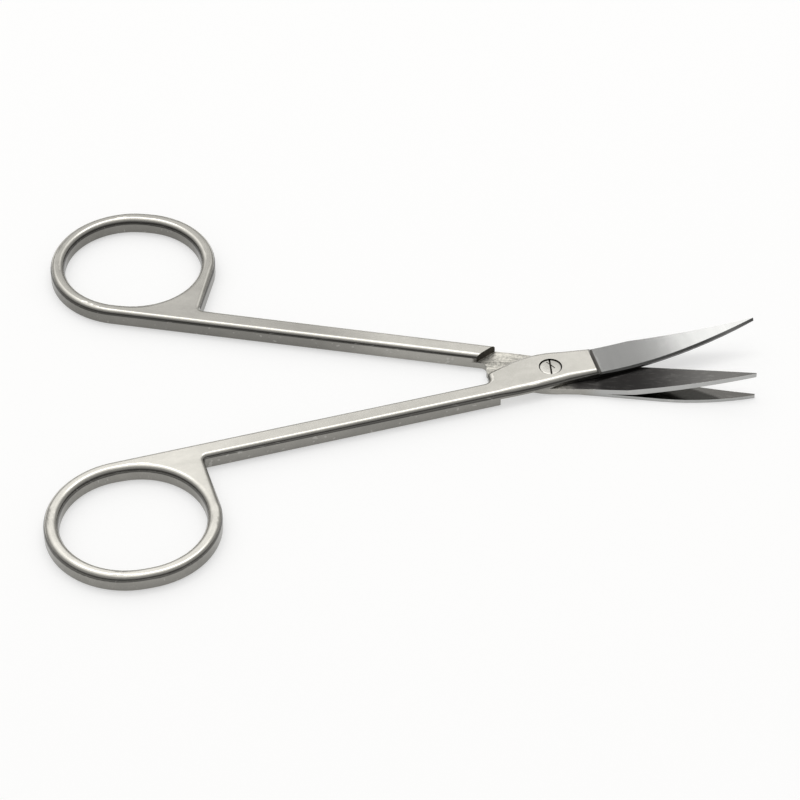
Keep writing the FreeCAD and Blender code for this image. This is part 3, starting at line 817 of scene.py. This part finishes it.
# %% Painted shade round the head and in the slot
GROOVE_AT = HEAD_RADIUS - EDGE_BREAK
RIM_AND_SLOT_ROUGH, TURNED_DEPTH = 0.40, 0.004
# painted shade in the groove round the head and on the slot floor
rim = ramp(tree, reach, GROOVE_AT - 0.01, GROOVE_AT + 0.03)
slot_floor = times(tree, ramp(tree, where.outputs["Height"], HEAD_EDGE - 0.02, HEAD_EDGE - 0.14),
                   ramp(tree, reach, HEAD_RADIUS - 0.01, HEAD_RADIUS - 0.05))
rim_and_slot_shade = maths(tree, "MAXIMUM", rim, slot_floor)
feed(tree, steel.inputs["Base Color"], blend(tree, rim_and_slot_shade, bare, PAINTED_SHADE))
rough = plus(tree, ramp(tree, turning, 0.3, 0.7, 0.24, 0.34), fade(tree, rim_and_slot_shade, 0.0, RIM_AND_SLOT_ROUGH))
feed(tree, steel.inputs["Roughness"], rough)
add_relief(tree, steel, times(tree, turning, TURNED_DEPTH))
screw.data.materials.clear()
screw.data.materials.append(screw_steel)
print("grime from", round(GROOVE_AT, 2), "mm outwards")

# %% [markdown]
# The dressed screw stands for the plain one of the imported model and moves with
# the back half, in whose thread it sits.

# %% The screw takes its solid's place
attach(screw, "back")
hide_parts("pivot_screw")
print("screw rides on the back half")

# %% [markdown]
# A product picture is taken on a pale sweep. Here the floor is a plain matt
# sheet that keeps the soft shadow. Its paper is lifted a little for the eye
# and for mirrors alone, so it reads as white without more light on the steel.

# %% The floor
FLOOR_SIZE, FLOOR_DROP = 1.6, 0.02       # half its width in m, and mm under the table
PAPER, PAPER_GLOW = (0.56, 0.56, 0.558, 1.0), 0.50
floor_mesh = bmesh.new()
bmesh.ops.create_grid(floor_mesh, x_segments=8, y_segments=8, size=FLOOR_SIZE)
floor_data = bpy.data.meshes.new("paper_floor")
floor_mesh.to_mesh(floor_data)
floor_mesh.free()
floor = bpy.data.objects.new("paper_floor", floor_data)
floor.location = (0, 0, -FLOOR_DROP * MM)
bpy.context.scene.collection.objects.link(floor)
paper = bpy.data.materials.new("white_paper")
paper.use_nodes = True
tree = paper.node_tree
sheet = tree.nodes["Principled BSDF"]
sheet.inputs["Roughness"].default_value = 1.0
sheet.inputs["Specular IOR Level"].default_value = 0.0
sheet.inputs["Base Color"].default_value = PAPER
sheet.inputs["Emission Color"].default_value = (1.0, 1.0, 1.0, 1.0)
rays = add(tree, "ShaderNodeLightPath")
mirrored = maths(tree, "MAXIMUM", rays.outputs["Is Glossy Ray"], rays.outputs["Is Transmission Ray"])
seen = maths(tree, "MAXIMUM", rays.outputs["Is Camera Ray"], mirrored)
feed(tree, sheet.inputs["Emission Strength"], times(tree, seen, PAPER_GLOW))
floor.data.materials.append(paper)
print("floor:", FLOOR_SIZE * 2, "m wide")

# %% [markdown]
# Polished steel has no look of its own: it shows the room. So the room is
# designed first: bright above and behind, dim towards the camera and along the
# horizon. That gives flat tops a light grey and lets the tone run off over the
# rounded corners, which makes metal read as metal. A small dark card hangs next
# to the lamp of the blades, so that their sheen has a darker patch beside it.

# %% The room
GLOW_TOWARD, DIM, BRIGHT = (-0.10, 0.42, 0.90), 0.34, 1.38
CARD_TONE = 0.38
room = bpy.data.worlds.new("studio_room")
bpy.context.scene.world = room
room.use_nodes = True
tree = room.node_tree
backdrop = tree.nodes["Background"]
direction = add(tree, "ShaderNodeTexCoord").outputs["Generated"]
lean = add(tree, "ShaderNodeVectorMath", {"operation": "DOT_PRODUCT"}, Vector=direction)
lean.inputs[1].default_value = GLOW_TOWARD
glow = ramp(tree, lean.outputs["Value"], 0.52, 0.97, DIM, BRIGHT)
sky = add(tree, "ShaderNodeSeparateXYZ", None, Vector=direction)
sideways, away, high = sky.outputs["X"], sky.outputs["Y"], sky.outputs["Z"]
card = times(tree, ramp(tree, sideways, -0.058, -0.022), ramp(tree, sideways, 0.10, 0.05),
             ramp(tree, away, 0.3, 0.5), ramp(tree, high, 0.56, 0.62), ramp(tree, high, 0.80, 0.74))
feed(tree, backdrop.inputs["Strength"], times(tree, glow, fade(tree, card, 1.0, CARD_TONE)))
backdrop.inputs["Color"].default_value = (1.0, 0.995, 0.985, 1.0)
print("room from", DIM, "to", BRIGHT)


# %% [markdown]
# Two soft lamps shape the reflections: a wide one nearly overhead, for the
# bright line along each rounded edge, and a narrow one low behind the blades,
# which the curved blade picks up as a white sheen in its middle.

# %% The lamps
def soft_lamp(name, toward, distance, width, height, watts):
    data = bpy.data.lights.new(name, "AREA")
    data.shape = "RECTANGLE"
    data.size = width
    data.size_y = height
    data.energy = watts
    lamp = bpy.data.objects.new(name, data)
    aim = Vector(toward).normalized()
    lamp.location = aim * distance
    lamp.rotation_euler = aim.to_track_quat("Z", "Y").to_euler()
    bpy.context.scene.collection.objects.link(lamp)
    return lamp


soft_lamp("overhead_softbox", (0.0, 0.32, 0.947), 0.93, 0.9, 0.24, 1.25)
soft_lamp("blade_softbox", (-0.072, 0.74, 0.667), 0.9, 0.075, 0.28, 0.048)

# %% [markdown]
# The camera stands in front of the pair, with the rings on its left, and looks
# down at 42 degrees through a long lens, half a metre away. The pair lies
# turned by a few degrees, so the camera's right is worked out first, and the
# pivot is set where it lies in the frame.

# %% Where the camera looks
PIXELS = 800
SCALE = 6.17 / MM            # pixels per metre at the pivot
DISTANCE = 531.4 * MM
ELEVATION, TURN = math.radians(42.08), math.radians(3.49)
PIVOT_X, PIVOT_Y = 550.5, 366.4      # the pivot's place in the frame, in pixels
right = Vector((math.cos(TURN), -math.sin(TURN), 0))
level = Vector((math.sin(TURN), math.cos(TURN), 0))
look = level * math.cos(ELEVATION) - Vector((0, 0, math.sin(ELEVATION)))
up = right.cross(look)
focal = SCALE * DISTANCE
pivot_top = Vector((0, 0, TOP * MM))
aside = (PIVOT_X - PIXELS / 2) * DISTANCE / focal
above = (PIXELS / 2 - PIVOT_Y) * DISTANCE / focal
print("looking along", [round(v, 3) for v in look])

# %% The camera
SENSOR = 36.0
camera_data = bpy.data.cameras.new("product_camera")
camera_data.sensor_width = SENSOR
camera_data.lens = focal / PIXELS * SENSOR
camera_data.clip_start = 0.01
camera = bpy.data.objects.new("product_camera", camera_data)
bpy.context.scene.collection.objects.link(camera)
camera.matrix_world = Matrix((
    (right.x, up.x, -look.x, 0), (right.y, up.y, -look.y, 0), (right.z, up.z, -look.z, 0), (0, 0, 0, 1)))
camera.location = pivot_top - look * DISTANCE - right * aside - up * above
bpy.context.scene.camera = camera
bpy.context.scene.view_settings.view_transform = "Standard"
print("lens:", round(camera_data.lens, 1), "mm; camera at", [round(v, 3) for v in camera.location])
